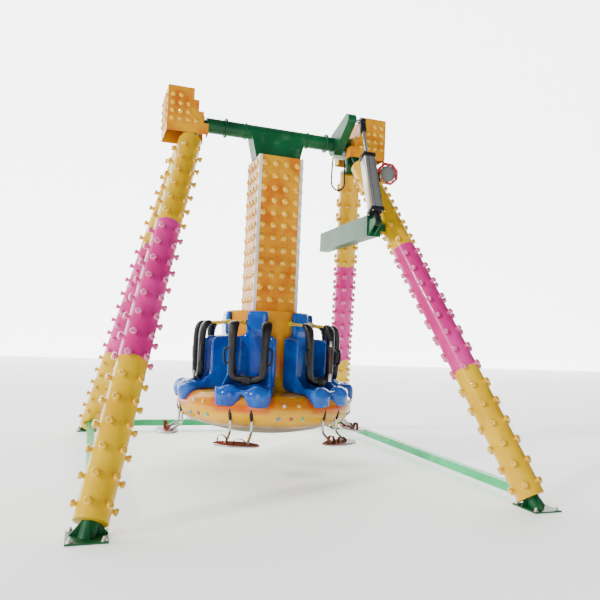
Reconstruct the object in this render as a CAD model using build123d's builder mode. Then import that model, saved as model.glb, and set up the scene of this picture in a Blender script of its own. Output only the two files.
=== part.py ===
from build123d import *
from math import hypot, sqrt
import os

# Pendulum ride: two pairs of splayed legs carry a swinging beam, a square
# lamp column hangs from the beam, and a round gondola with six seats turns
# below it. A pneumatic cylinder beside the right legs pulls on a crank.
# X runs along the swing beam, Y from front to back, Z up, in millimetres.
# The origin is on the ground, centred between the four feet.

# Overall frame
foot_x = 1800
foot_y = 2185
apex_x = 920
beam_z = 3600
fit = 0.3
running_fit = 0.08

# Legs and their covers
leg_r = 60
cover_r = 120
cover_wall = 6
cover_end = 10
cover_seam = 1
cover_start = 95
pink_from = 0.310
pink_to = 0.648
cover_stop = 0.930
plate_x = 270
plate_y = 290
plate_t = 12
anchor_r = 11
anchor_dx = 210
anchor_dy = 230

# Tie bars at the ground
tie_size = 80
tie_wall = 4
tie_z = 105

# Swing beam, its journals and housings
beam_r = 80
beam_half = 800
journal_r = 55
journal_end = 1010
housing_r = 100
housing_half = 90
carrier_w = 60
carrier_t = 12
carrier_out = 50

# Hanger between beam and column
hanger_top_w = 640
hanger_depth = 200

# Lamp column
column_w = 496
column_top = 3300
column_bottom = 1620
panel_wall = 8
trim_w = 34
trim_t = 4
column_cap_t = 14

# Stepped lamp boxes over the bearings
box_outer_x = 1240
box_bottom_w = 430
box_top_w = 270
box_z0 = 3420
box_z1 = 3890
box_half_y = 235
box_wall = 6
box_steps = 4
box_slot_gap = 10

# Crank on the beam
crank_pin_y = -376
crank_pin_z = 3779
crank_x0 = 680
crank_t = 100
crank_root_r = 130
crank_tip_r = 62
pin_r = 20
pin_gap = 2

# Cylinder
cylinder_x = 873
base_y = -841
base_z = 2575
barrel_w = 130
barrel_len = 850
cap_w = 138
cap_t = 45
rod_r = 18
eye_r = 42
eye_w = 50
eye_start = 330
tang_w = 44
tang_r = 38
piston_at = 330
eye_boss = 12

# Cross-beam between the right legs and the cylinder's bracket
cross_x = 900
cross_w = 120
cross_z = 2560
cross_h = 230
cross_half_y = 700
cross_wall = 8
bracket_t = 14
bracket_gap = 3
hole_gap = 4
stub_w = 70

# Gondola
rim_r = 945
rim_z = 660
dish_z = 325
tower_r = 440
tower_top = 1615
flare_z = 930
deck_r = 800
shoulder_r = 926
keel_r = 860
keel_z = 492
deck_z = 795
seats = 6
seat_turn = 30
bearing_r = 190
bearing_depth = 35

# Bucket seats: half widths, heights and distances from the gondola's axis
seat_back_r = 430
seat_face_r = 490
wing_r = 668
wing_top = 1340
wing_t = 34
seat_half_back = 215
seat_half_wing = 250
seat_half_lip = 292
pan_z = 835
head_top = 1610
head_half = 112
lip_r = 972
lip_top = 865
lip_low = 672
lobe_gap_z = 770

# Over-shoulder restraints
pivot_r = 470
pivot_z = 1490
bar_r = 748
bar_half = 178
bar_tube = 42
bar_low = 875
shoulder_z = 1470
arm_at = 150
arm_t = 22
arm_r = 25
ear_t = 18
ear_gap = 3
pivot_pin_r = 12

# Footrests
footrest_half = 105
footrest_tube = 13
footrest_r = 1040
footrest_z = 335
slot_low = 500
slot_high = 620
slot_back_r = 880
slot_gap = 5
tube_r = 905
tube_bend_z = 425
tube_bend = 70
footrest_plate_w = 450
footrest_plate_d = 250
footrest_plate_t = 12

os.makedirs("parts", exist_ok=True)


def save(part, name):
    """Label one finished piece and write it as its own file."""
    part.label = name
    export_step(part, f"parts/{name}.step")


def leg_plane(side, end):
    """Plane at a foot whose normal runs up the leg; side and end are -1 or 1."""
    foot = Vector(side * foot_x, end * foot_y, 0)
    apex = Vector(side * apex_x, 0, beam_z)
    along = (apex - foot).normalized()
    level = Vector(0, 0, 1).cross(along).normalized()
    return Plane(origin=foot, x_dir=level, z_dir=along)


leg_length = hypot(foot_x - apex_x, foot_y, beam_z)
corners = {"fl": (-1, -1), "fr": (1, -1), "bl": (-1, 1), "br": (1, 1)}


def leg_point(side, end, height):
    """Point on a leg's axis at a height above the ground."""
    share = height / beam_z
    x = foot_x + (apex_x - foot_x) * share
    return Vector(side * x, end * foot_y * (1 - share), height)


tie_ends = {
    "left": ((-1, -1), (-1, 1)),
    "right": ((1, -1), (1, 1)),
    "back": ((-1, 1), (1, 1)),
}


def tie_bar(first, last, size):
    """Square bar between two legs' axes at tie height."""
    start = leg_point(*first, tie_z)
    run = leg_point(*last, tie_z) - start
    with BuildPart() as bar:
        with BuildSketch(Plane(origin=start, x_dir=(0, 0, 1), z_dir=run)):
            Rectangle(size, size)
        extrude(amount=run.length)
    return bar.part


# Leg tubes with foot plates
for name, (side, end) in corners.items():
    plane = leg_plane(side, end)
    with BuildPart() as tube:
        with BuildSketch(plane.offset(-leg_r)):
            Circle(leg_r)
        extrude(amount=leg_length + leg_r)
        with BuildSketch(Plane.YZ.offset(side * apex_x - housing_half)):
            with Locations((0, beam_z)):
                Circle(housing_r + fit)
        extrude(amount=2 * housing_half, mode=Mode.SUBTRACT)
        split(bisect_by=Plane.XY.offset(plate_t), keep=Keep.TOP)
        split(bisect_by=Plane.XZ.offset(-end * leg_r), keep=Keep.BOTTOM if end > 0 else Keep.TOP)
        with BuildSketch():
            with Locations((side * foot_x, end * foot_y)):
                Rectangle(plate_x, plate_y)
        extrude(amount=plate_t)
        with Locations((side * foot_x, end * foot_y, plate_t)):
            with GridLocations(anchor_dx, anchor_dy, 2, 2):
                Hole(anchor_r, depth=plate_t)
    save(tube.part, f"leg_tube_{name}")

# Round covers on the legs, in yellow and pink lengths
for name, (side, end) in corners.items():
    plane = leg_plane(side, end)
    marks = [cover_start, pink_from * leg_length, pink_to * leg_length, cover_stop * leg_length]
    for colour, spans in {"yellow": (0, 2), "pink": (1,)}.items():
        with BuildPart() as cover:
            for span in spans:
                low = marks[span] + cover_seam
                high = marks[span + 1]
                with BuildSketch(plane.offset(low)):
                    Circle(cover_r)
                    Circle(leg_r + fit, mode=Mode.SUBTRACT)
                extrude(amount=high - low)
                with BuildSketch(plane.offset(low + cover_end)):
                    Circle(cover_r - cover_wall)
                    Circle(leg_r + fit, mode=Mode.SUBTRACT)
                extrude(amount=high - low - 2 * cover_end, mode=Mode.SUBTRACT)
            if side > 0 and colour == "yellow":
                at = leg_point(side, end, cross_z)
                with BuildSketch(Plane.YZ):
                    with Locations((at.Y, cross_z)):
                        Rectangle(stub_w + 2 * hole_gap, stub_w + 2 * hole_gap)
                extrude(amount=at.X, mode=Mode.SUBTRACT)
            if colour == "yellow":
                for first, last in tie_ends.values():
                    if (side, end) in (first, last):
                        add(tie_bar(first, last, tie_size + 2 * hole_gap), mode=Mode.SUBTRACT)
        save(cover.part, f"leg_cover_{colour}_{name}")

# Tie bars: left, right and back, butted on the leg tubes
for name, (first, last) in tie_ends.items():
    with BuildPart() as tie:
        add(tie_bar(first, last, tie_size))
        add(tie_bar(first, last, tie_size - 2 * tie_wall), mode=Mode.SUBTRACT)
        for side, end in (first, last):
            with BuildSketch(leg_plane(side, end)):
                Circle(leg_r + fit)
            extrude(amount=leg_length, mode=Mode.SUBTRACT)
        if name == "back":
            for other in ("left", "right"):
                add(tie_bar(*tie_ends[other], tie_size + 2 * fit), mode=Mode.SUBTRACT)
    save(tie.part, f"tie_bar_{name}")

# Bearing housings at the two apexes, each with a bar that carries its box
for name, side in {"left": -1, "right": 1}.items():
    x0 = side * apex_x - housing_half
    with BuildPart() as housing:
        with BuildSketch(Plane.YZ.offset(x0)):
            with Locations((0, beam_z)):
                Circle(housing_r)
        extrude(amount=2 * housing_half)
        with BuildSketch(Plane.YZ.offset(side * (apex_x + carrier_out) - carrier_w / 2)):
            with Locations((0, beam_z + housing_r)):
                Rectangle(2 * (box_half_y - box_wall - fit), 2 * carrier_t)
        extrude(amount=carrier_w)
        with BuildSketch(Plane.YZ.offset(x0)):
            with Locations((0, beam_z)):
                Circle(journal_r + running_fit)
        extrude(amount=2 * housing_half, mode=Mode.SUBTRACT)
    save(housing.part, f"bearing_housing_{name}")

# Stepped lamp boxes, open underneath, with a slot for the beam
step_h = (box_z1 - box_z0) / box_steps
step_in = (box_bottom_w - box_top_w) / (box_steps - 1)
for name, side in {"left": -1, "right": 1}.items():
    with BuildPart() as box:
        with BuildSketch(Plane.XZ.offset(-box_half_y)):
            with BuildLine():
                steps = [(side * box_outer_x, box_z1), (side * box_outer_x, box_z0)]
                for step in range(box_steps):
                    inner = side * (box_outer_x - box_bottom_w + step * step_in)
                    steps.append((inner, box_z0 + step * step_h))
                    steps.append((inner, box_z0 + (step + 1) * step_h))
                Polyline(*steps, close=True)
            make_face()
        extrude(amount=2 * box_half_y)
        with BuildSketch(Plane.XZ.offset(box_wall - box_half_y)):
            with BuildLine():
                steps = [(side * (box_outer_x - box_wall), box_z1 - box_wall),
                         (side * (box_outer_x - box_wall), box_z0)]
                for step in range(box_steps):
                    inner = side * (box_outer_x - box_bottom_w + step * step_in + box_wall)
                    low = box_z0 + step * step_h - (box_wall if step else 0)
                    steps.append((inner, low))
                    steps.append((inner, box_z0 + (step + 1) * step_h - box_wall))
                Polyline(*steps, close=True)
            make_face()
        extrude(amount=2 * (box_half_y - box_wall), mode=Mode.SUBTRACT)
        slot_r = housing_r + box_slot_gap
        inner = box_outer_x - box_bottom_w
        with BuildSketch(Plane.YZ.offset(side * inner)):
            with BuildLine():
                Line((slot_r, box_z0), (slot_r, beam_z))
                ThreePointArc((slot_r, beam_z), (0, beam_z + slot_r), (-slot_r, beam_z))
                Line((-slot_r, beam_z), (-slot_r, box_z0))
                Line((-slot_r, box_z0), (slot_r, box_z0))
            make_face()
        extrude(amount=side * (2 * step_in + 2 * box_wall), mode=Mode.SUBTRACT)
    save(box.part, f"step_box_{name}")

# Swing beam with its journals
with BuildPart() as beam:
    with BuildSketch(Plane.YZ.offset(-beam_half)):
        with Locations((0, beam_z)):
            Circle(beam_r)
    extrude(amount=2 * beam_half)
    with BuildSketch(Plane.YZ.offset(-journal_end)):
        with Locations((0, beam_z)):
            Circle(journal_r)
    extrude(amount=2 * journal_end)
save(beam.part, "swing_beam")

# Hanger: a tapered box with a middle rib, from the beam to the column
with BuildPart() as hanger:
    with BuildSketch(Plane.XZ.offset(-hanger_depth / 2)):
        with BuildLine():
            Polyline((-hanger_top_w / 2, beam_z), (hanger_top_w / 2, beam_z),
                     (column_w / 2, column_top + fit), (-column_w / 2, column_top + fit), close=True)
        make_face()
    extrude(amount=hanger_depth)
    with BuildSketch(Plane.YZ.offset(-hanger_top_w)):
        with Locations((0, beam_z)):
            Circle(beam_r + fit)
    extrude(amount=2 * hanger_top_w, mode=Mode.SUBTRACT)
save(hanger.part, "column_hanger")

# Square lamp column with four corner trims
inner_w = column_w - 2 * trim_t
with BuildPart() as column:
    with BuildSketch(Plane.XY.offset(column_bottom)):
        Rectangle(inner_w - 2 * fit, inner_w - 2 * fit)
        Rectangle(inner_w - 2 * panel_wall, inner_w - 2 * panel_wall, mode=Mode.SUBTRACT)
    extrude(amount=column_top - column_bottom)
    with BuildSketch(Plane.XY.offset(column_top - column_cap_t)):
        Rectangle(inner_w - 2 * panel_wall, inner_w - 2 * panel_wall)
    extrude(amount=column_cap_t)
    with BuildSketch(Plane.XY.offset(column_bottom)):
        Rectangle(inner_w - 2 * panel_wall, inner_w - 2 * panel_wall)
    extrude(amount=column_cap_t)
save(column.part, "lamp_column")

with BuildPart() as trims:
    with BuildSketch(Plane.XY.offset(column_bottom)):
        Rectangle(column_w, column_w)
        Rectangle(inner_w, inner_w, mode=Mode.SUBTRACT)
        Rectangle(column_w, column_w - 2 * trim_w, mode=Mode.SUBTRACT)
        Rectangle(column_w - 2 * trim_w, column_w, mode=Mode.SUBTRACT)
    extrude(amount=column_top - column_bottom)
save(trims.part, "column_trims")

# Crank: a tapered arm clamped on the beam
crank_reach = hypot(crank_pin_y, crank_pin_z - beam_z)
crank_plane = Plane(origin=(crank_x0, 0, beam_z), x_dir=(0, crank_pin_y, crank_pin_z - beam_z), z_dir=(1, 0, 0))
with BuildPart() as crank:
    with BuildSketch(crank_plane):
        Circle(crank_root_r)
        with Locations((crank_reach, 0)):
            Circle(crank_tip_r)
        make_hull()
        Circle(beam_r + fit, mode=Mode.SUBTRACT)
    extrude(amount=crank_t)
save(crank.part, "crank_arm")

# Cylinder barrel on its base pin, and the rod
lean = Vector(0, crank_pin_y - base_y, crank_pin_z - base_z)
pin_to_pin = lean.length
along = lean.normalized()
barrel_plane = Plane(origin=(cylinder_x, base_y, base_z), x_dir=(1, 0, 0), z_dir=along)
barrel_end = pin_to_pin - eye_start
barrel_start = barrel_end - barrel_len
with BuildPart() as barrel:
    with BuildSketch(barrel_plane.offset(barrel_start + cap_t)):
        RectangleRounded(barrel_w, barrel_w, 16)
    extrude(amount=barrel_len - 2 * cap_t)
    for at in (barrel_start, barrel_end - cap_t):
        with BuildSketch(barrel_plane.offset(at)):
            RectangleRounded(cap_w, cap_w, 14)
        extrude(amount=cap_t)
    with BuildSketch(Plane.YZ.offset(cylinder_x - tang_w / 2)):
        with Locations((base_y, base_z)):
            Circle(tang_r)
    extrude(amount=tang_w)
    with BuildSketch(barrel_plane):
        Rectangle(tang_w, 2 * tang_r)
    extrude(amount=barrel_start)
    with BuildSketch(Plane.YZ.offset(cylinder_x - tang_w / 2)):
        with Locations((base_y, base_z)):
            Circle(pin_r + running_fit)
    extrude(amount=tang_w, mode=Mode.SUBTRACT)
    with BuildSketch(barrel_plane.offset(barrel_start + cap_t)):
        Circle(rod_r + running_fit)
    extrude(amount=barrel_len, mode=Mode.SUBTRACT)
save(barrel.part, "cylinder_barrel")

with BuildPart() as rod:
    with BuildSketch(barrel_plane.offset(barrel_start + cap_t + piston_at)):
        Circle(rod_r)
    extrude(amount=pin_to_pin - barrel_start - cap_t - piston_at)
    with BuildSketch(Plane.YZ.offset(cylinder_x - eye_w / 2)):
        with Locations((crank_pin_y, crank_pin_z)):
            Circle(eye_r)
    extrude(amount=eye_w)
    with BuildSketch(Plane.YZ.offset(crank_x0 + crank_t + pin_gap)):
        with Locations((crank_pin_y, crank_pin_z)):
            Circle(pin_r)
    extrude(amount=cylinder_x + eye_w / 2 + eye_boss - crank_x0 - crank_t - pin_gap)
save(rod.part, "cylinder_rod")

# Cross-beam on the right legs and the cylinder's bracket at its front end
with BuildPart() as cross:
    with BuildSketch(Plane.XZ.offset(-cross_half_y)):
        with Locations((cross_x, cross_z)):
            Rectangle(cross_w, cross_h)
            Rectangle(cross_w - 2 * cross_wall, cross_h - 2 * cross_wall, mode=Mode.SUBTRACT)
    extrude(amount=2 * cross_half_y)
    for end in (-1, 1):
        at = leg_point(1, end, cross_z)
        with BuildSketch(Plane.YZ.offset(cross_x + cross_w / 2)):
            with Locations((at.Y, cross_z)):
                Rectangle(stub_w, stub_w)
        extrude(amount=at.X - cross_x - cross_w / 2)
        with BuildSketch(leg_plane(1, end)):
            Circle(leg_r + fit)
        extrude(amount=leg_length, mode=Mode.SUBTRACT)
save(cross.part, "cross_beam")

front = -cross_half_y - fit
with BuildPart() as bracket:
    ear = tang_w / 2 + bracket_gap
    for x0 in (cylinder_x - ear - bracket_t, cylinder_x + ear):
        with BuildSketch(Plane.YZ.offset(x0)):
            with BuildLine():
                top = base_z + tang_r
                low = cross_z - cross_h / 2
                Line((front, top), (base_y, top))
                ThreePointArc((base_y, top), (base_y - tang_r, base_z), (base_y, base_z - tang_r))
                Line((base_y, base_z - tang_r), (front, low))
                Line((front, low), (front, top))
            make_face()
        extrude(amount=bracket_t)
    with BuildSketch(Plane.YZ.offset(cylinder_x - ear - bracket_t)):
        with Locations((base_y, base_z)):
            Circle(pin_r)
    extrude(amount=2 * (ear + bracket_t))
    with BuildSketch(Plane.XZ.offset(-front)):
        with Locations((cross_x, cross_z)):
            Rectangle(cross_w + 40, cross_h)
    extrude(amount=bracket_t)
save(bracket.part, "cylinder_bracket")


def body_profile(gap):
    """Half outline of the dish and tower, grown by a gap, as (radius, height)."""
    tower = tower_r + gap
    deck = deck_z + gap
    keel = keel_r + gap
    low = dish_z - gap
    ball = (keel ** 2 + (keel_z - low) ** 2) / (2 * (keel_z - low))
    sag = ball - sqrt(ball ** 2 - (keel / 2) ** 2)
    with BuildSketch(Plane.XZ) as outline:
        with BuildLine():
            Line((0, low), (0, tower_top))
            Line((0, tower_top), (tower, tower_top))
            Line((tower, tower_top), (tower, flare_z))
            ThreePointArc((tower, flare_z), (tower + 48, deck + 36), (tower + 165, deck))
            Line((tower + 165, deck), (deck_r, deck - 8))
            ThreePointArc((deck_r, deck - 8), (rim_r - 38 + gap, rim_z + 86), (rim_r + gap, rim_z))
            ThreePointArc((rim_r + gap, rim_z), (shoulder_r + gap, (rim_z + keel_z) / 2), (keel, keel_z))
            ThreePointArc((keel, keel_z), (keel / 2, low + sag), (0, low))
        make_face()
    return outline.sketch


dish_outline = body_profile(0)
dish_seat = body_profile(fit)


seat_angles = [seat_turn + number * 360 / seats for number in range(seats)]


# Dish and tower, with a slot for each footrest tube and a seat for the bearing
with BuildPart() as slots:
    with BuildSketch(Plane.XY.offset(slot_low)):
        for side in (-1, 1):
            with Locations((side * footrest_half, -(slot_back_r + rim_r + slot_gap) / 2)):
                Rectangle(2 * (footrest_tube + slot_gap), rim_r + slot_gap - slot_back_r)
    extrude(amount=slot_high - slot_low)
with BuildPart() as dish:
    add(dish_outline)
    revolve(axis=Axis.Z)
    with BuildSketch(Plane.XY.offset(column_bottom - bearing_depth - fit)):
        Circle(bearing_r + running_fit)
    extrude(amount=bearing_depth, mode=Mode.SUBTRACT)
    for angle in seat_angles:
        add(slots.part.rotate(Axis.Z, angle), mode=Mode.SUBTRACT)
save(dish.part, "gondola_body")

with BuildPart() as bearing:
    with BuildSketch(Plane.XY.offset(column_bottom - bearing_depth)):
        Circle(bearing_r)
    extrude(amount=bearing_depth - fit)
save(bearing.part, "slew_bearing")

# Six bucket seats around the tower
for number, angle in enumerate(seat_angles, start=1):
    with BuildPart() as seat:
        with BuildSketch(Plane.YZ.offset(-seat_half_lip)):
            with BuildLine():
                Polyline((-seat_back_r, head_top), (-seat_face_r, head_top),
                         (-seat_face_r - 8, wing_top + 60), (-wing_r + 60, wing_top), (-wing_r, wing_top - 60),
                         (-wing_r, lip_top + 90), (-wing_r - 90, lip_top), (-lip_r + 60, lip_top),
                         (-lip_r, lip_top - 60), (-lip_r, lip_low), (-seat_back_r, lip_low), close=True)
            make_face()
        extrude(amount=2 * seat_half_lip)
        with BuildSketch(Plane.XY.offset(lip_low)):
            with BuildLine():
                Polyline((-seat_half_back, -seat_back_r), (-seat_half_wing, -wing_r),
                         (-seat_half_lip, -rim_r + 60), (-seat_half_lip + 60, -lip_r),
                         (seat_half_lip - 60, -lip_r), (seat_half_lip, -rim_r + 60),
                         (seat_half_wing, -wing_r), (seat_half_back, -seat_back_r), close=True)
            make_face()
        extrude(amount=head_top - lip_low, mode=Mode.INTERSECT)
        with BuildSketch(Plane.XZ.offset(seat_back_r)):
            with BuildLine():
                Polyline((-head_half, head_top), (head_half, head_top), (head_half, wing_top + 30),
                         (seat_half_back, wing_top), (seat_half_lip, wing_top), (seat_half_lip, lip_low),
                         (60, lip_low), (0, lobe_gap_z), (-60, lip_low),
                         (-seat_half_lip, lip_low), (-seat_half_lip, wing_top), (-seat_half_back, wing_top),
                         (-head_half, wing_top + 30), close=True)
            make_face()
        extrude(amount=lip_r, mode=Mode.INTERSECT)
        with BuildSketch(Plane.XY.offset(pan_z)):
            with BuildLine():
                Polyline((-seat_half_back + wing_t, -seat_face_r), (-seat_half_wing + wing_t, -wing_r),
                         (-seat_half_lip + wing_t, -rim_r + 60), (-seat_half_lip + wing_t, -lip_r - 1),
                         (seat_half_lip - wing_t, -lip_r - 1), (seat_half_lip - wing_t, -rim_r + 60),
                         (seat_half_wing - wing_t, -wing_r), (seat_half_back - wing_t, -seat_face_r), close=True)
            make_face()
        extrude(amount=wing_top + 60 - pan_z, mode=Mode.SUBTRACT)
        add(dish_seat)
        revolve(axis=Axis.Z, mode=Mode.SUBTRACT)
    save(seat.part.rotate(Axis.Z, angle), f"seat_{number}")

# Ears and pins at the tower's head, two for each restraint
with BuildPart() as ear_pair:
    for side in (-1, 1):
        inside = side * (arm_at - arm_t / 2 - ear_gap - ear_t)
        with BuildSketch(Plane.YZ.offset(inside)):
            with Locations((-pivot_r, pivot_z), (-tower_r + 2 * arm_r, pivot_z)):
                Circle(arm_r - 1)
            make_hull()
        extrude(amount=side * ear_t)
        with BuildSketch(Plane.YZ.offset(inside)):
            with Locations((-pivot_r, pivot_z)):
                Circle(pivot_pin_r)
        extrude(amount=side * (ear_t + arm_t + 2 * ear_gap))
with BuildPart() as ears:
    for angle in seat_angles:
        add(ear_pair.part.rotate(Axis.Z, angle))
    add(dish_seat)
    revolve(axis=Axis.Z, mode=Mode.SUBTRACT)
save(ears.part, "restraint_brackets")

# Six over-shoulder restraints, each turning on its two pins
bar_clear = 2 * (bar_half - bar_tube)
for number, angle in enumerate(seat_angles, start=1):
    with BuildPart() as restraint:
        with BuildSketch(Plane.XZ.offset(bar_r - bar_tube)):
            with Locations((0, (bar_low + shoulder_z) / 2)):
                RectangleRounded(2 * (bar_half + bar_tube), shoulder_z - bar_low, 90)
            with Locations((0, (bar_low + shoulder_z) / 2 + 2 * bar_tube)):
                Rectangle(bar_clear, shoulder_z - bar_low, mode=Mode.SUBTRACT)
        extrude(amount=2 * bar_tube)
        for side in (-1, 1):
            with BuildSketch(Plane.YZ.offset(side * arm_at - arm_t / 2)):
                with Locations((-pivot_r, pivot_z), (-bar_r, shoulder_z - 2 * arm_r)):
                    Circle(arm_r)
                make_hull()
                with Locations((-pivot_r, pivot_z)):
                    Circle(pivot_pin_r + running_fit, mode=Mode.SUBTRACT)
            extrude(amount=arm_t)
    save(restraint.part.rotate(Axis.Z, angle), f"restraint_{number}")

# Six footrests: two bent tubes hang from the dish and carry an oval plate
for number, angle in enumerate(seat_angles, start=1):
    with BuildPart() as footrest:
        with BuildSketch(Plane.XY.offset(footrest_z)):
            with Locations((0, -footrest_r)):
                Ellipse(footrest_plate_w / 2, footrest_plate_d / 2)
        extrude(amount=footrest_plate_t)
        for side in (-1, 1):
            at = side * footrest_half
            with BuildLine() as path:
                FilletPolyline((at, -tube_r, slot_high - fit), (at, -tube_r, tube_bend_z),
                               (at, -footrest_r, footrest_z + footrest_plate_t / 2), radius=tube_bend)
            with BuildSketch(Plane.XY.offset(slot_high - fit)):
                with Locations((at, -tube_r)):
                    Circle(footrest_tube)
            sweep(path=path.line)
    save(footrest.part.rotate(Axis.Z, angle), f"footrest_{number}")
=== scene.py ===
import bmesh
import bpy
from math import cos, pi, radians, sin, sqrt
from mathutils import Matrix, Vector


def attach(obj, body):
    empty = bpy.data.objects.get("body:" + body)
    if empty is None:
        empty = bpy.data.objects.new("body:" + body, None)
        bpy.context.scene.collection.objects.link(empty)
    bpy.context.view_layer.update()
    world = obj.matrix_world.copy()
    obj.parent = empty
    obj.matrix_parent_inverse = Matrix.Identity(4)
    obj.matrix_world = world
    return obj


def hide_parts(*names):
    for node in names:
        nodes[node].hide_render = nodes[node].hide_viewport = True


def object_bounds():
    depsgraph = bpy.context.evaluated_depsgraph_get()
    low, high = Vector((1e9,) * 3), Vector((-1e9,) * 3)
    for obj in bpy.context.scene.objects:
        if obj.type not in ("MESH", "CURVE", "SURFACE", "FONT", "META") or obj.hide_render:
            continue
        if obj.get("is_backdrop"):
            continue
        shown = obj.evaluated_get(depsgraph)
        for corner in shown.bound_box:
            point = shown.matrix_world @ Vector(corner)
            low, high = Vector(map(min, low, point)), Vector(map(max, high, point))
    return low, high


# Looks of a pendulum ride: lamps, pads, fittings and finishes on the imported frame.
# Lengths are in metres, X along the swing beam, Y from front to back, Z up.

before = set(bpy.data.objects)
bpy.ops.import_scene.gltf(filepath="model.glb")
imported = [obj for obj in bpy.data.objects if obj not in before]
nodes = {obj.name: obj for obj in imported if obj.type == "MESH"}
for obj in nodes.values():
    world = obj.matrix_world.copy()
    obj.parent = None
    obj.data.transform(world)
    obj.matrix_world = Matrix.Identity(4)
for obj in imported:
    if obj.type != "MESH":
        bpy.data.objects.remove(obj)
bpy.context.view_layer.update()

# Sizes of the frame
foot_x, foot_y = 1.800, 2.185
apex_x, beam_z = 0.920, 3.600
cover_r = 0.120
leg_length = sqrt((foot_x - apex_x) ** 2 + foot_y ** 2 + beam_z ** 2)
pink_from, pink_to = 0.310 * leg_length, 0.648 * leg_length
cover_start, cover_stop = 0.095, 0.930 * leg_length
legs = {"fl": (-1, -1), "fr": (1, -1), "bl": (-1, 1), "br": (1, 1)}
column_w, column_top = 0.496, 3.300
seat_angles = [radians(30 + 60 * number) for number in range(6)]
cylinder_x, base_y, base_z = 0.873, -0.841, 2.575
crank_pin_y, crank_pin_z = -0.376, 3.779

# Camera
camera_place = Vector((-1.87154484, -6.43256553, 1.37210914))
camera_yaw, camera_pitch, camera_roll = radians(19.13895), radians(3.37359), radians(2.41638)
lens, sensor_width = 36.33, 36
ahead = Vector((sin(camera_yaw) * cos(camera_pitch),
                cos(camera_yaw) * cos(camera_pitch), sin(camera_pitch)))
right = Vector((cos(camera_yaw), -sin(camera_yaw), 0))
above = right.cross(ahead)
across = cos(camera_roll) * right + sin(camera_roll) * above
upward = -sin(camera_roll) * right + cos(camera_roll) * above
camera_data = bpy.data.cameras.new("camera")
camera_data.lens, camera_data.sensor_width = lens, sensor_width
camera = bpy.data.objects.new("camera", camera_data)
bpy.context.scene.collection.objects.link(camera)
camera_turn = Matrix((across, upward, -ahead)).transposed().to_4x4()
camera.matrix_world = Matrix.Translation(camera_place) @ camera_turn
bpy.context.scene.camera = camera


# Wiring of the finishes
class Wire:
    """A number or colour that runs through a finish, with its sums written as plain arithmetic."""

    def __init__(self, finish, socket):
        self.finish, self.socket = finish, socket

    def maths(self, operation, first, second=0):
        return self.finish.node("ShaderNodeMath", {"operation": operation}, {0: first, 1: second})[0]

    def __add__(self, other):
        return self.maths("ADD", self, other)

    def __sub__(self, other):
        return self.maths("SUBTRACT", self, other)

    def __rsub__(self, other):
        return self.maths("SUBTRACT", other, self)

    def __mul__(self, other):
        return self.maths("MULTIPLY", self, other)

    __radd__, __rmul__ = __add__, __mul__

    def between(self, low, high):
        """0 below low, 1 above high and smooth from one to the other."""
        settings = {"interpolation_type": "SMOOTHSTEP"}
        return self.finish.node("ShaderNodeMapRange", settings, {0: self, 1: low, 2: high})[0]


class Finish:
    """One material: a surface shader, and the nodes that vary it over the piece."""

    def __init__(self, name):
        self.material = bpy.data.materials.new(name)
        self.material.use_nodes = True
        self.tree = self.material.node_tree
        self.surface = self.tree.nodes["Principled BSDF"]
        self.coordinates = self.node("ShaderNodeTexCoord")[3]

    def node(self, kind, settings=None, values=None):
        """Adds a node, sets it up and wires it; its outputs come back in a list."""
        node = self.tree.nodes.new(kind)
        for key, value in (settings or {}).items():
            setattr(node, key, value)
        for key, value in (values or {}).items():
            if isinstance(value, Wire):
                self.tree.links.new(value.socket, node.inputs[key])
            else:
                node.inputs[key].default_value = value
        return [Wire(self, socket) for socket in node.outputs]

    def stretched(self, scale):
        """The piece's coordinates, stretched along each axis."""
        return self.node("ShaderNodeMapping", None, {0: self.coordinates, 3: scale})[0]

    def noise(self, scale, detail=4, rough=0.55, along=None):
        place = self.stretched(along) if along else self.coordinates
        return self.node("ShaderNodeTexNoise", None,
                         {"Vector": place, "Scale": scale, "Detail": detail, "Roughness": rough})[0]

    def mix(self, share, first, second):
        """Colour first where share is 0 and second where it is 1."""
        first, second = [c if isinstance(c, Wire) else (*c, 1) for c in (first, second)]
        return self.node("ShaderNodeMix", {"data_type": "RGBA"}, {0: share, 6: first, 7: second})[2]

    def axes(self):
        return self.node("ShaderNodeSeparateXYZ", None, {0: self.coordinates})

    def bump(self, height, depth, strength):
        normal = self.node("ShaderNodeBump", None,
                           {"Strength": strength, "Distance": depth, "Height": height})[0]
        self.set(Normal=normal)

    def set(self, **values):
        """Sets sockets of the surface by name, with _ for each space."""
        for key, value in values.items():
            socket = self.surface.inputs[key.replace("_", " ")]
            if isinstance(value, Wire):
                self.tree.links.new(value.socket, socket)
            else:
                socket.default_value = (*value, 1) if socket.type == "RGBA" else value


def moulded(name, light, dark, rough, coat):
    """Moulded or enamelled colour: faint clouding and light scuffs under a clear coat."""
    finish = Finish(name)
    cloud = finish.noise(2.2, 3).between(0.35, 0.68)
    colour = finish.mix(cloud, dark, light)
    scuffs = finish.noise(14, 6, 0.7, (1, 1, 0.25)).between(0.60, 0.78)
    finish.set(Base_Color=finish.mix(scuffs * 0.25, colour, tuple(0.8 * c + 0.08 for c in light)))
    finish.set(Roughness=scuffs * 0.25 + rough, Coat_Weight=coat, Coat_Roughness=0.06, Specular_IOR_Level=0.2)
    finish.bump(finish.noise(9, 3) + scuffs * 0.1, 0.0015, 0.35)
    return finish


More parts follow.
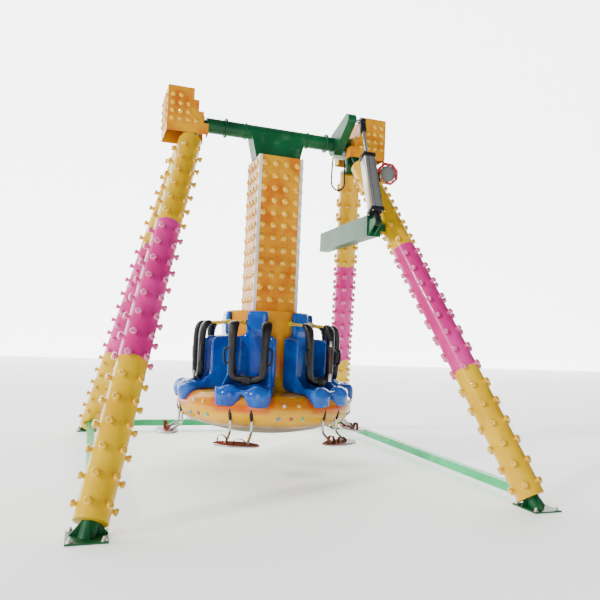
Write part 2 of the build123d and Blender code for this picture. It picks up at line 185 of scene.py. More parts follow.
def painted_steel(name, light, dark):
    """Green machine paint with a fine grain, dark chips and patches of dust."""
    finish = Finish(name)
    cloud = finish.noise(3.5, 5).between(0.3, 0.7)
    colour = finish.mix(cloud, dark, light)
    chips = finish.noise(38, 6, 0.62).between(0.70, 0.74)
    dust = finish.noise(7, 5, 0.7).between(0.55, 0.80)
    colour = finish.mix(dust * 0.18, colour, (0.35, 0.36, 0.30))
    finish.set(Base_Color=finish.mix(chips * 0.7, colour, (0.10, 0.085, 0.07)))
    finish.set(Roughness=dust * 0.2 + 0.42 + chips * 0.2, Specular_IOR_Level=0.28, Coat_Weight=0.05)
    finish.bump(finish.noise(70, 4) * 0.5 - chips, 0.0008, 0.5)
    return finish


def metal(name, colour, rough, grain=(1, 1, 1)):
    """Bare or plated metal with dull blots and a fine grain, which can be drawn out one way."""
    finish = Finish(name)
    streak = finish.noise(60, 5, 0.6, grain)
    blot = finish.noise(6, 4).between(0.35, 0.75)
    finish.set(Base_Color=finish.mix(blot * 0.35, colour, tuple(0.62 * c for c in colour)))
    finish.set(Metallic=1.0, Roughness=streak * 0.12 + blot * 0.08 + rough)
    finish.bump(streak, 0.0004, 0.3)
    return finish


def lamp(name, light, dark):
    """A glossy coloured lamp cap, clouded with a deeper colour."""
    finish = Finish(name)
    finish.set(Base_Color=finish.mix(finish.noise(55, 2).between(0.35, 0.65), dark, light))
    finish.set(Roughness=finish.noise(90, 3) * 0.12 + 0.06, Coat_Weight=1.0, Coat_Roughness=0.03)
    finish.set(Subsurface_Weight=0.25, Subsurface_Radius=(0.02, 0.015, 0.01))
    return finish


finishes = {}
finishes["cover_yellow"] = moulded("yellow_resin", (0.84, 0.53, 0.0), (0.72, 0.40, 0.0), 0.30, 0.18)
finishes["cover_pink"] = moulded("pink_resin", (0.80, 0.045, 0.34), (0.62, 0.018, 0.22), 0.30, 0.18)
finishes["steel_green"] = painted_steel("green_paint", (0.003, 0.115, 0.035), (0.001, 0.065, 0.020))
finishes["tie_green"] = painted_steel("bright_green_paint", (0.02, 0.56, 0.20), (0.01, 0.40, 0.13))
finishes["trim_white"] = moulded("white_trim", (0.86, 0.84, 0.80), (0.78, 0.76, 0.72), 0.35, 0.2)
finishes["bearing_steel"] = metal("bearing_steel", (0.45, 0.44, 0.42), 0.35)
finishes["footrest_chrome"] = metal("bright_plating", (0.55, 0.53, 0.50), 0.14)
finishes["rod_chrome"] = metal("hard_chrome", (0.86, 0.86, 0.87), 0.08)
finishes["barrel_aluminium"] = metal("anodised_alloy", (0.74, 0.72, 0.70), 0.28, (1, 0.08, 0.08))
finishes["black_cap"] = moulded("black_casting", (0.018, 0.018, 0.022), (0.010, 0.010, 0.012), 0.4, 0.1)
finishes["bracket_yellow"] = moulded("yellow_enamel", (0.80, 0.55, 0.02), (0.66, 0.40, 0.01), 0.35, 0.3)
finishes["bolt_zinc"] = metal("zinc_plating", (0.62, 0.60, 0.55), 0.3)
finishes["hose_black"] = moulded("black_rubber", (0.02, 0.02, 0.02), (0.012, 0.012, 0.012), 0.5, 0.0)
finishes["fitting_pale"] = moulded("pale_fitting", (0.62, 0.80, 0.66), (0.45, 0.66, 0.50), 0.4, 0.1)
finishes["lamp_grey"] = moulded("grey_lamp", (0.20, 0.22, 0.21), (0.12, 0.13, 0.13), 0.35, 0.3)
finishes["rim_red"] = moulded("red_rim", (0.55, 0.010, 0.030), (0.38, 0.006, 0.015), 0.3, 0.3)
finishes["tread_red"] = moulded("red_tread", (0.30, 0.020, 0.030), (0.12, 0.010, 0.014), 0.4, 0.1)
finishes["strap_brown"] = moulded("brown_strap", (0.22, 0.07, 0.03), (0.14, 0.04, 0.02), 0.6, 0.0)
finishes["bulb_yellow"] = lamp("yellow_lamp_cap", (0.93, 0.60, 0.012), (0.78, 0.33, 0.004))
finishes["knob_yellow"] = lamp("yellow_knob_cap", (0.90, 0.58, 0.008), (0.74, 0.36, 0.003))
finishes["knob_pink"] = lamp("pink_knob_cap", (0.88, 0.20, 0.46), (0.70, 0.07, 0.28))
finishes["gem_blue"] = lamp("blue_gem", (0.02, 0.30, 0.62), (0.01, 0.14, 0.38))
finishes["gem_red"] = lamp("red_gem", (0.55, 0.02, 0.02), (0.28, 0.01, 0.01))
finishes["gem_green"] = lamp("green_gem", (0.03, 0.60, 0.30), (0.01, 0.35, 0.15))
finishes["gem_white"] = lamp("white_gem", (0.85, 0.83, 0.78), (0.60, 0.58, 0.55))
finishes["gem_amber"] = lamp("amber_gem", (0.90, 0.62, 0.06), (0.62, 0.34, 0.02))


def airbrushed_panel():
    """Lamp panels: yellow resin with soft orange clouds."""
    finish = Finish("airbrushed_panel")
    cloud = finish.noise(4.5, 3, 0.5, (1, 1, 0.8)).between(0.36, 0.66)
    fine = finish.noise(26, 4)
    colour = finish.mix(cloud, (0.80, 0.36, 0.004), (0.60, 0.12, 0.002))
    finish.set(Base_Color=finish.mix(fine * 0.25, colour, (0.84, 0.44, 0.010)))
    finish.set(Roughness=fine * 0.2 + 0.30, Coat_Weight=0.08, Specular_IOR_Level=0.2)
    finish.bump(finish.noise(12, 3), 0.002, 0.4)
    return finish


def airbrushed_dish():
    """Dish and tower: yellow, with orange bands, a halo round each seat and painted shade darkening the
    underside.
    """
    finish = Finish("airbrushed_dish")
    x, y, z = finish.axes()
    wobble = finish.noise(3.0, 3) * 0.10 - 0.05
    height = z + wobble
    shoulder = height.between(0.60, 0.70) - height.between(0.70, 0.80)
    keel = 1 - height.between(0.42, 0.56)
    tower = height.between(0.86, 0.98) - height.between(1.05, 1.50) * 0.55
    # Way round in seats, kept above zero, and the distance along the rim from the nearest seat's middle
    turn = x.maths("ARCTAN2", x, 0 - y) * (3 / pi) + 12
    seat_arc = 0.99
    across = turn.maths("ABSOLUTE", turn.maths("FRACT", turn) - 0.5) * seat_arc + wobble * 0.2
    beside = across.between(0.235, 0.275) - across.between(0.300, 0.350)
    beside = beside * (z.between(0.64, 0.70) - z.between(1.05, 1.40))
    below = (z.between(0.590, 0.650) - z.between(0.680, 0.710)) * (1 - across.between(0.24, 0.33))
    halo = beside.maths("MAXIMUM", beside, below)
    sun = finish.noise(2.0, 2).between(0.40, 0.62)
    orange = shoulder.maths("MAXIMUM", shoulder * 0.75, keel * 0.85)
    orange = orange.maths("MAXIMUM", orange, tower * 0.95) * (sun * 0.3 + 0.7)
    colour = finish.mix(orange, (0.82, 0.42, 0.004), (0.62, 0.11, 0.001))
    colour = finish.mix(halo * 0.85, colour, (0.60, 0.085, 0.0))
    # Painted shade: below its middle the dish is darkened to a deep olive, where the shade under it falls
    underside_shade = 1 - height.between(0.44, 0.56)
    colour = finish.mix(underside_shade * 0.9, colour, (0.030, 0.040, 0.002))
    finish.set(Base_Color=colour)
    finish.set(Roughness=finish.noise(18, 5) * 0.14 + 0.14 + underside_shade * 0.25, Coat_Weight=0.3 - underside_shade * 0.3)
    finish.set(Coat_Roughness=0.05, Specular_IOR_Level=0.25)
    finish.bump(finish.noise(6, 3), 0.003, 0.4)
    return finish


def blue_shell():
    """Seat shells: deep glossy blue gel coat with orange-peel and light scuffs."""
    finish = Finish("blue_gel_coat")
    cloud = finish.noise(3.5, 3).between(0.35, 0.65)
    colour = finish.mix(cloud, (0.002, 0.050, 0.34), (0.004, 0.12, 0.56))
    scuffs = finish.noise(22, 6, 0.7).between(0.62, 0.80)
    finish.set(Base_Color=finish.mix(scuffs * 0.2, colour, (0.05, 0.22, 0.58)))
    finish.set(Roughness=scuffs * 0.2 + 0.16, Coat_Weight=0.3, Coat_Roughness=0.05, Specular_IOR_Level=0.3)
    finish.bump(finish.noise(9, 3), 0.0025, 0.35)
    return finish


def black_foam():
    """Skinned foam of the restraints: fine leather grain, soft sheen and rubbed patches."""
    finish = Finish("black_foam_skin")
    grain = finish.node("ShaderNodeTexVoronoi", {"feature": "DISTANCE_TO_EDGE"},
                        {"Vector": finish.coordinates, "Scale": 420.0})[0]
    worn = finish.noise(9, 5).between(0.50, 0.75)
    finish.set(Base_Color=finish.mix(worn, (0.004, 0.004, 0.005), (0.014, 0.014, 0.016)))
    finish.set(Roughness=worn * 0.16 + 0.30, Coat_Weight=0.10, Coat_Roughness=0.2, Specular_IOR_Level=0.35)
    finish.bump(grain.between(0.0, 0.25) + finish.noise(30, 3) * 0.6, 0.0006, 0.5)
    return finish


finishes["panel_orange"] = airbrushed_panel()
finishes["shell_yellow"] = airbrushed_dish()
finishes["seat_blue"] = blue_shell()
finishes["pad_black"] = black_foam()

# Finishes of the frame's own pieces
finish_of = {
    "leg_tube": "steel_green", "leg_cover_yellow": "cover_yellow", "leg_cover_pink": "cover_pink",
    "tie_bar": "tie_green", "bearing_housing": "steel_green", "step_box": "panel_orange",
    "cross_beam": "steel_green", "cylinder_bracket": "steel_green", "swing_beam": "steel_green",
    "column_hanger": "steel_green", "lamp_column": "panel_orange", "column_trims": "trim_white",
    "crank_arm": "steel_green", "slew_bearing": "bearing_steel", "gondola_body": "shell_yellow",
    "restraint_brackets": "bracket_yellow", "seat": "seat_blue", "footrest": "footrest_chrome",
    "restraint": "pad_black", "cylinder_barrel": "barrel_aluminium", "cylinder_rod": "rod_chrome",
}
for node_name, node in nodes.items():
    kinds = [kind for kind in finish_of if node_name.startswith(kind)]
    node.data.materials.clear()
    node.data.materials.append(finishes[finish_of[max(kinds, key=len)]].material)


# Making pieces
def clear_hands():
    bpy.ops.object.select_all(action="DESELECT")


def pick(piece):
    """Selects one piece alone and makes it the active one."""
    clear_hands()
    piece.select_set(True)
    bpy.context.view_layer.objects.active = piece


def own_copy(piece):
    """A linked copy of a piece, with a mesh of its own."""
    one = piece.copy()
    one.data = piece.data.copy()
    bpy.context.scene.collection.objects.link(one)
    return one


def shaped(piece, kind, **settings):
    """Gives the active piece a modifier with its settings and applies it."""
    modifier = piece.modifiers.new(kind.lower(), kind)
    for key, value in settings.items():
        setattr(modifier, key, value)
    bpy.ops.object.modifier_apply(modifier=modifier.name)


def soften(piece, width):
    shaped(piece, "BEVEL", width=width, segments=2, limit_method="ANGLE")


def merge_corners(distance, outwards=False):
    """Merges the corners of the active piece that meet, and can turn its faces outwards."""
    bpy.ops.object.mode_set(mode="EDIT")
    bpy.ops.mesh.select_all(action="SELECT")
    bpy.ops.mesh.remove_doubles(threshold=distance)
    if outwards:
        bpy.ops.mesh.normals_make_consistent(inside=False)
    bpy.ops.object.mode_set(mode="OBJECT")


def facing(point, direction):
    """Place of a piece whose own Z looks along a direction."""
    return Matrix.Translation(point) @ Vector(direction).to_track_quat("Z", "Y").to_matrix().to_4x4()


def about_axis(angle):
    return Matrix.Rotation(angle, 4, "Z")


def turned(name, rings, sides):
    """A round piece built up from a disc: each ring is a radius and a height."""
    clear_hands()
    radius, height = rings[0]
    bpy.ops.mesh.primitive_circle_add(vertices=sides, radius=radius, fill_type="NGON",
                                      location=(0, 0, height))
    piece = bpy.context.object
    piece.name = name
    bpy.ops.object.transform_apply()
    bpy.ops.object.mode_set(mode="EDIT")
    bpy.ops.mesh.select_all(action="SELECT")
    for wide, high in rings[1:]:
        bpy.ops.mesh.extrude_region_move(TRANSFORM_OT_translate={"value": (0, 0, high - height)})
        share = wide / radius
        bpy.ops.transform.resize(value=(share, share, 1), center_override=(0, 0, high))
        radius, height = wide, high
    bpy.ops.mesh.select_all(action="SELECT")
    bpy.ops.mesh.normals_make_consistent(inside=False)
    bpy.ops.object.mode_set(mode="OBJECT")
    return piece


def bar(name, start, stop, radius, sides=16):
    """A round bar from one point to another, with softly bevelled ends."""
    start, stop = Vector(start), Vector(stop)
    clear_hands()
    bpy.ops.mesh.primitive_cylinder_add(vertices=sides, radius=radius, depth=(stop - start).length)
    piece = bpy.context.object
    piece.name = name
    soften(piece, min(0.004, radius * 0.3))
    piece.matrix_world = facing((start + stop) / 2, stop - start)
    bpy.ops.object.transform_apply()
    return piece


def block(name, size, place, edge):
    """A box with rounded edges at a place."""
    clear_hands()
    bpy.ops.mesh.primitive_cube_add(size=1, scale=size)
    piece = bpy.context.object
    piece.name = name
    bpy.ops.object.transform_apply()
    soften(piece, edge)
    piece.matrix_world = Matrix.Translation(place)
    bpy.ops.object.transform_apply()
    return piece


def nurbs_line(name, data, places, order, closed=False):
    """An object for a curve that is drawn by its control points."""
    spline = data.splines.new("NURBS")
    spline.points.add(len(places) - 1)
    for point, place in zip(spline.points, places):
        point.co = (*place, 1)
    spline.order_u, spline.use_endpoint_u, spline.use_cyclic_u = order, not closed, closed
    line = bpy.data.objects.new(name, data)
    bpy.context.scene.collection.objects.link(line)
    return line


def tube(name, places, radius, width=0):
    """A bent tube, or a strap of some width, along a few control points, made into a mesh."""
    data = bpy.data.curves.new(name, "CURVE")
    data.dimensions = "2D" if width else "3D"
    data.bevel_depth, data.bevel_resolution, data.resolution_u = radius, 1 if width else 3, 5
    data.extrude, data.fill_mode = width / 2, "NONE" if width else "FULL"
    data.use_fill_caps = not width
    pick(nurbs_line(name, data, places, 3))
    bpy.ops.object.convert(target="MESH")
    return bpy.context.object


def prism(name, right_side, reach, place):
    """A smooth-sided solid from the right half of its outline, mirrored and drawn out both ways."""
    outline = right_side + [(-x, y) for x, y in reversed(right_side) if x]
    data = bpy.data.curves.new(name, "CURVE")
    data.dimensions, data.fill_mode, data.extrude, data.resolution_u = "2D", "BOTH", reach, 6
    pick(nurbs_line(name, data, [(x, y, 0) for x, y in outline], 4, closed=True))
    bpy.ops.object.convert(target="MESH")
    merge_corners(0.0002, outwards=True)
    piece = bpy.context.object
    piece.matrix_world = place
    return piece


def joined(name, parts):
    clear_hands()
    for part in parts:
        part.select_set(True)
    bpy.context.view_layer.objects.active = parts[0]
    bpy.ops.object.join()
    bpy.context.object.name = name
    return bpy.context.object


def set_out(name, master, places):
    """Copies of one piece at several places, joined, with the master removed."""
    copies = []
    for place in places:
        copies.append(own_copy(master))
        copies[-1].matrix_world = place
    bpy.data.objects.remove(master)
    piece = joined(name, copies)
    bpy.ops.object.transform_apply()
    return piece


def fit(piece, name, finish, body, angle=35):
    """Names a piece, shades it, gives it its finish and hangs it on its body."""
    pick(piece)
    piece.name = piece.data.name = name
    bpy.ops.object.transform_apply()
    bpy.ops.object.shade_smooth_by_angle(angle=radians(angle))
    piece.data.materials.clear()
    piece.data.materials.append(finishes[finish].material)
    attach(piece, body)
    return piece


def round_the_seats(master, name, finish, body, angle=35):
    """Copies of a piece that is modelled at the front, one for each seat; {} in body is its number."""
    pieces = []
    for number, turn in enumerate(seat_angles, start=1):
        piece = own_copy(master)
        piece.matrix_world = about_axis(turn)
        pieces.append(fit(piece, f"{name}_{number}", finish, body.format(number), angle))
    bpy.data.objects.remove(master)
    return pieces


def leg_frame(side, end):
    """Foot of a leg, the way up along it, the level way across it and the way out from it."""
    foot = Vector((side * foot_x, end * foot_y, 0))
    along = (Vector((side * apex_x, 0, beam_z)) - foot).normalized()
    level = Vector((0, 0, 1)).cross(along).normalized()
    return foot, along, level, along.cross(level)


# Fitting block under the right housing, on its plate, where the hose begins and ends
plate = block("hose_plate", (0.010, 0.090, 0.150), (0.840, -0.050, 3.460), 0.003)
fit(plate, "hose_plate", "steel_green", "frame")
fitting = joined("fitting", [block("fitting", (0.170, 0.045, 0.036), (0.752, -0.060, 3.442), 0.006),
                             bar("union", (0.670, -0.060, 3.430), (0.670, -0.060, 3.402), 0.013, 6),
                             bar("socket", (0.812, -0.046, 3.510), (0.812, -0.048, 3.470), 0.013, 6)])
fit(fitting, "hose_fitting", "fitting_pale", "frame")

# Air hose that hangs in a loop below the right housing
hose_points = [(0.812, -0.045, 3.490), (0.815, -0.052, 3.390), (0.819, -0.060, 3.260),
               (0.821, -0.066, 3.135), (0.805, -0.066, 3.087), (0.764, -0.066, 3.057),
               (0.714, -0.066, 3.057), (0.673, -0.066, 3.087), (0.657, -0.066, 3.135),
               (0.660, -0.062, 3.290), (0.670, -0.060, 3.425)]
hose_data = bpy.data.curves.new("hose", "CURVE")
hose_data.dimensions, hose_data.resolution_u = "3D", 12
hose_data.bevel_depth, hose_data.bevel_resolution = 0.009, 3
hose = nurbs_line("hose", hose_data, hose_points, 3)
hose_data.materials.append(finishes["hose_black"].material)
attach(hose, "frame")

# Knob lamps on the leg covers, in rings of six up each leg
knob_rings = [(0.017, -0.004), (0.017, 0.012), (0.026, 0.020), (0.030, 0.030),
              (0.026, 0.041), (0.017, 0.045), (0.009, 0.042)]
knob_pitch, knobs_round = 0.190, 6
knob_first, knob_last = cover_start + 0.100, cover_stop - 0.050
for leg, (side, end) in legs.items():
    foot, along, level, outward = leg_frame(side, end)
    spots = {"yellow": [], "pink": []}
    at = knob_first
    while at < knob_last:
        colour = "pink" if pink_from < at < pink_to else "yellow"
        for number in range(knobs_round):
            turn = 2 * pi * (number + 0.5) / knobs_round
            ray = level * cos(turn) + outward * sin(turn)
            spots[colour].append(facing(foot + along * at + ray * cover_r, ray))
        at += knob_pitch
    for colour, places in spots.items():
        knobs = set_out("knobs", turned("knob", knob_rings, 12), places)
        fit(knobs, f"knobs_{colour}_{leg}", f"knob_{colour}", "frame", 50)

# Lamp caps on the column: four columns and twelve rows on each side
cap_rings = [(0.036, -0.003), (0.036, 0.004), (0.033, 0.014), (0.024, 0.023), (0.011, 0.028)]
cap_rows, caps_across, cap_pitch_x, cap_pitch_z = 12, 4, 0.122, 0.134
cap_top, panel_out = column_top - 0.085, column_w / 2 - 0.0043
for side_name, turn in {"front": 0, "right": pi / 2, "back": pi, "left": -pi / 2}.items():
    spots = []
    for row in range(cap_rows):
        for place in range(caps_across):
            x = (place - (caps_across - 1) / 2) * cap_pitch_x
            spots.append(about_axis(turn) @ facing((x, -panel_out, cap_top - row * cap_pitch_z), (0, -1, 0)))
    caps = set_out("caps", turned("cap", cap_rings, 14), spots)
    fit(caps, f"column_lamps_{side_name}", "bulb_yellow", "pendulum", 60)

# Lamp caps on the stepped boxes: each row's height and its number of caps on the front and the back
box_cap_rings = [(0.027, -0.003), (0.027, 0.004), (0.024, 0.012), (0.016, 0.019), (0.007, 0.022)]
box_rows = ((3.547, 4), (3.627, 3), (3.711, 3), (3.796, 2))
box_outer_x, box_half_y = 1.240, 0.235
box_first, box_pitch = 0.052, 0.082
end_caps, end_pitch = 4, 0.105
for name, side in {"left": -1, "right": 1}.items():
    spots = []
    for height, count in box_rows:
        for place in range(count):
            x = side * (box_outer_x - box_first - place * box_pitch)
            spots.append(facing((x, -box_half_y, height), (0, -1, 0)))
            spots.append(facing((x, box_half_y, height), (0, 1, 0)))
        for place in range(end_caps):
            y = (place - (end_caps - 1) / 2) * end_pitch
            spots.append(facing((side * box_outer_x, y, height), (side, 0, 0)))
    caps = set_out("caps", turned("cap", box_cap_rings, 12), spots)
    fit(caps, f"box_lamps_{name}", "bulb_yellow", "frame", 60)

# Gem lamps on the dish, between the seats: how far along the rim each colour sits, in two rows
gem_rings = [(0.020, -0.006), (0.020, 0.002), (0.017, 0.008), (0.010, 0.012), (0.004, 0.013)]
upper_gems = {"white": -0.075, "amber": 0.075}
lower_gems = {"blue": -0.125, "red": 0.0, "green": 0.120}
rim_r, shoulder_r = 0.945, 0.926
gem_rows = ((upper_gems, rim_r, facing((0, -0.939, 0.700), (0, -1, 0.30))),
            (lower_gems, shoulder_r, facing((0, -0.926, 0.576), (0, -1, -0.35))))
gem_spots = {}
for angle in [radians(60 * number) for number in range(6)]:
    for row, radius, spot in gem_rows:
        for colour, along_rim in row.items():
            place = about_axis(angle + along_rim / radius) @ spot
            gem_spots.setdefault(colour, []).append(place)
for colour, places in gem_spots.items():
    gems = set_out("gems", turned("gem", gem_rings, 10), places)
    fit(gems, f"gems_{colour}", f"gem_{colour}", "gondola", 25)

# Restraint's hoop, right half from the middle of its foot: across, outwards, up, half width, half depth
pad_line = [(0.000, 0.750, 0.918, 0.042, 0.040), (0.060, 0.750, 0.918, 0.042, 0.040),
            (0.104, 0.750, 0.922, 0.042, 0.040), (0.140, 0.750, 0.940, 0.041, 0.040),
            (0.160, 0.750, 0.986, 0.040, 0.039), (0.164, 0.751, 1.060, 0.039, 0.038),
            (0.165, 0.752, 1.170, 0.038, 0.038), (0.166, 0.752, 1.270, 0.039, 0.038),
            (0.168, 0.750, 1.345, 0.045, 0.039), (0.170, 0.742, 1.415, 0.053, 0.040),
            (0.169, 0.718, 1.464, 0.055, 0.038), (0.167, 0.684, 1.474, 0.050, 0.032),
            (0.165, 0.664, 1.472, 0.032, 0.018)]
ring_corners, ring_power = 12, 0.8


def depth_ways(headings):
    """The way outwards at each ring, carried along the hoop from its middle without a twist."""
    middle = len(headings) // 2
    ways = [None] * len(headings)
    ways[middle] = Vector((0, -1, 0))
    for step in (1, -1):
        at = middle
        while 0 <= at + step < len(headings):
            turn = headings[at].rotation_difference(headings[at + step])
            ways[at + step] = (turn @ ways[at]).normalized()
            at += step
    return ways


def hoop_ring(hoop, place, heading, depth_way, wide, deep):
    """Corners of one rounded-square section of the hoop."""
    across = heading.cross(depth_way).normalized()
    ring = []
    for corner in range(ring_corners):
        turn = 2 * pi * corner / ring_corners
        c, s = [abs(value) ** ring_power * (1 if value > 0 else -1) for value in (cos(turn), sin(turn))]
        ring.append(hoop.verts.new(place + across * (wide * c) + depth_way * (deep * s)))
    return ring


def hoop_mesh():
    """The whole hoop as rings of corners along its mirrored line, closed at both ends."""
    half = [Vector((u, -r, z)) for u, r, z, wide, deep in pad_line]
    line = [Vector((-p.x, p.y, p.z)) for p in reversed(half[1:])] + half
    sections = [row[3:] for row in reversed(pad_line[1:])] + [row[3:] for row in pad_line]
    last = len(line) - 1
    headings = [(line[min(i + 1, last)] - line[max(i - 1, 0)]).normalized() for i in range(last + 1)]
    hoop = bmesh.new()
    rings = []
    for place, heading, way, (wide, deep) in zip(line, headings, depth_ways(headings), sections):
        rings.append(hoop_ring(hoop, place, heading, way, wide, deep))
    for first, second in zip(rings, rings[1:]):
        for corner in range(ring_corners):
            after = (corner + 1) % ring_corners
            hoop.faces.new((first[corner], first[after], second[after], second[corner]))
    hoop.faces.new(rings[0])
    hoop.faces.new(rings[-1])
    bmesh.ops.recalc_face_normals(hoop, faces=hoop.faces)
    mesh = bpy.data.meshes.new("hoop")
    hoop.to_mesh(mesh)
    hoop.free()
    return mesh


pad = bpy.data.objects.new("pad", hoop_mesh())
bpy.context.scene.collection.objects.link(pad)
pick(pad)
shaped(pad, "SUBSURF", levels=2, render_levels=2)
pads = round_the_seats(pad, "restraint_pad", "pad_black", "restraint_{}", 60)
for number, pad in enumerate(pads, start=1):
    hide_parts(f"restraint_{number}")

# Yellow arms of the restraints, with a boss on each pin
pin_out, pin_z = 0.470, 1.490
arms = []
for side in (-1, 1):
    arms.append(bar("arm", (side * 0.150, -pin_out, pin_z), (side * 0.163, -0.690, 1.472), 0.014))
    boss_in, boss_out = (side * 0.1395, -pin_out, pin_z), (side * 0.1605, -pin_out, pin_z)
    arms.append(bar("boss", boss_in, boss_out, 0.027, 24))
round_the_seats(joined("arms", arms), "restraint_arms", "bracket_yellow", "restraint_{}")

# Black grips on both sides of a restraint, and the block in the middle of its foot
grip_line = [(0.182, 0.755, 1.228), (0.206, 0.760, 1.232), (0.236, 0.768, 1.222), (0.244, 0.770, 1.185),
             (0.242, 0.770, 1.130), (0.236, 0.768, 1.085), (0.208, 0.760, 1.070), (0.182, 0.755, 1.074)]
grips = [tube("grip", [(side * u, -r, z) for u, r, z in grip_line], 0.012) for side in (-1, 1)]
grips.append(block("sleeve", (0.098, 0.090, 0.092), (0, -0.751, 0.913), 0.016))
round_the_seats(joined("grips", grips), "restraint_fittings", "black_cap", "restraint_{}", 50)

# Seat belt hanging on the near right restraint, with its anchor and latch
belt = block("belt", (0.014, 0.004, 0.330), (0.120, -0.792, 1.120), 0.0015)
belt.matrix_world = about_axis(seat_angles[0])
fit(belt, "restraint_belt", "strap_brown", "restraint_1")
latch = joined("latch", [block("anchor", (0.036, 0.010, 0.062), (0.120, -0.791, 1.300), 0.003),
                         block("tongue", (0.046, 0.012, 0.074), (0.120, -0.792, 0.948), 0.004),
                         bar("eye", (0.120, -0.800, 0.985), (0.120, -0.784, 0.985), 0.015)])
latch.matrix_world = about_axis(seat_angles[0])
fit(latch, "restraint_latch", "bolt_zinc", "restraint_1")

# Seat shells: the bucket with its head, wings and two rounded lobes, smoothed to flowing edges
front = [(0.105, 1.68), (0.118, 1.50), (0.150, 1.41), (0.262, 1.41), (0.315, 1.32),
         (0.300, 1.10), (0.296, 0.95), (0.275, 0.84), (0.288, 0.72), (0.245, 0.628),
         (0.150, 0.612), (0.070, 0.645), (0.040, 0.760), (0, 0.812)]
above = [(0.330, -0.30), (0.330, -0.78), (0.305, -0.90), (0.240, -0.955), (0.140, -0.965), (0.050, -0.945)]
cutters = [prism("front", front, 0.45, Matrix.Translation((0, -0.75, 0)) @ Matrix.Rotation(pi / 2, 4, "X")),
           prism("above", above, 0.60, Matrix.Translation((0, 0, 1.15)))]
# The mesh alone is copied, because a copied node would pass on the frame's own marks
shell = bpy.data.objects.new("shell", nodes["seat_1"].data.copy())
bpy.context.scene.collection.objects.link(shell)
shell.matrix_world = about_axis(-seat_angles[0])
pick(shell)
bpy.ops.object.transform_apply()
merge_corners(0.00001)
for cutter in cutters:
    shaped(shell, "BOOLEAN", operation="INTERSECT", object=cutter, solver="EXACT")
    bpy.data.objects.remove(cutter)
lobes = [shell]
for side in (-1, 1):
    bpy.ops.mesh.primitive_uv_sphere_add(segments=32, ring_count=20, scale=(0.130, 0.098, 0.108),
                                         location=(side * 0.142, -0.882, 0.775))
    lobes.append(bpy.context.object)
shell = joined("shell", lobes)
shaped(shell, "REMESH", mode="VOXEL", voxel_size=0.011, use_smooth_shade=True)
shaped(shell, "SMOOTH", factor=0.5, iterations=30)
seats = round_the_seats(shell, "seat_shell", "seat_blue", "gondola", 60)
for number, seat in enumerate(seats, start=1):
    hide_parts(f"seat_{number}")

# Footrests: bright oval rims, plain red-brown treads and strap loops
plate_r, plate_top = 1.040, 0.347
rim_wide, rim_flat, rim_thick = 0.218, 0.545, 0.010
tread_wide, tread_flat, tread_thick = 0.212, 0.53, 0.006
strap_loops = ((-0.130, 0.050, 0.064), (0.040, 0.062, 0.042))
strap_wide, strap_thick = 0.030, 0.0015
clear_hands()
bpy.ops.mesh.primitive_torus_add(major_segments=48, minor_segments=8, major_radius=rim_wide,
                                 minor_radius=rim_thick, location=(0, -plate_r, plate_top - 0.004))
rim = bpy.context.object
rim.scale = (1, rim_flat, 1)
bpy.ops.object.transform_apply()
clear_hands()
bpy.ops.mesh.primitive_cylinder_add(vertices=48, radius=tread_wide, depth=tread_thick,
                                    location=(0, -plate_r, plate_top + 0.001))
tread = bpy.context.object
tread.scale = (1, tread_flat, 1)
bpy.ops.object.transform_apply()
loops = []
for place, reach, high in strap_loops:
    outline = [(place - reach, 0), (place - reach * 1.1, high), (place, high * 1.3),
               (place + reach * 0.8, high * 0.7), (place + reach, 0)]
    loops.append(tube("loop", [(x, y, 0) for x, y in outline], strap_thick, strap_wide))
    loops[-1].matrix_world = Matrix.Translation((0, -plate_r, plate_top)) @ Matrix.Rotation(pi / 2, 4, "X")
    bpy.ops.object.transform_apply()
straps = joined("straps", loops)
round_the_seats(rim, "footrest_rim", "footrest_chrome", "gondola", 60)
round_the_seats(tread, "footrest_tread", "tread_red", "gondola")
round_the_seats(straps, "footrest_straps", "strap_brown", "gondola", 60)

# Painted shade: dark blobs sunk into the slots that the footrest tubes come out of, standing for the shade
# inside them
clear_hands()
bpy.ops.mesh.primitive_uv_sphere_add(segments=16, ring_count=10, radius=1, scale=(0.017, 0.017, 0.072))
mouth = bpy.context.object
bpy.ops.object.transform_apply()
spots = []
for angle in seat_angles:
    for x in (-0.105, 0.105):
        slot_place = Matrix.Translation((x, -0.9215, 0.606)) @ Matrix.Rotation(radians(7), 4, "X")
        spots.append(about_axis(angle) @ slot_place)
fit(set_out("mouths", mouth, spots), "slot_painted_shade", "black_cap", "gondola", 60)

# Cylinder: the way from its lower pin to the crank pin gives the frame of its pieces
lean = Vector((0, crank_pin_y - base_y, crank_pin_z - base_z))
pins_apart, upright, sideways = lean.length, lean.normalized(), Vector((1, 0, 0))
barrel_turn = Matrix((sideways, upright.cross(sideways), upright)).transposed().to_4x4()
barrel_frame = Matrix.Translation((cylinder_x, base_y, base_z)) @ barrel_turn
barrel_low, barrel_high, barrel_wide = 0.111, 0.835, 0.128
barrel_middle, barrel_length = (barrel_low + barrel_high) / 2, barrel_high - barrel_low

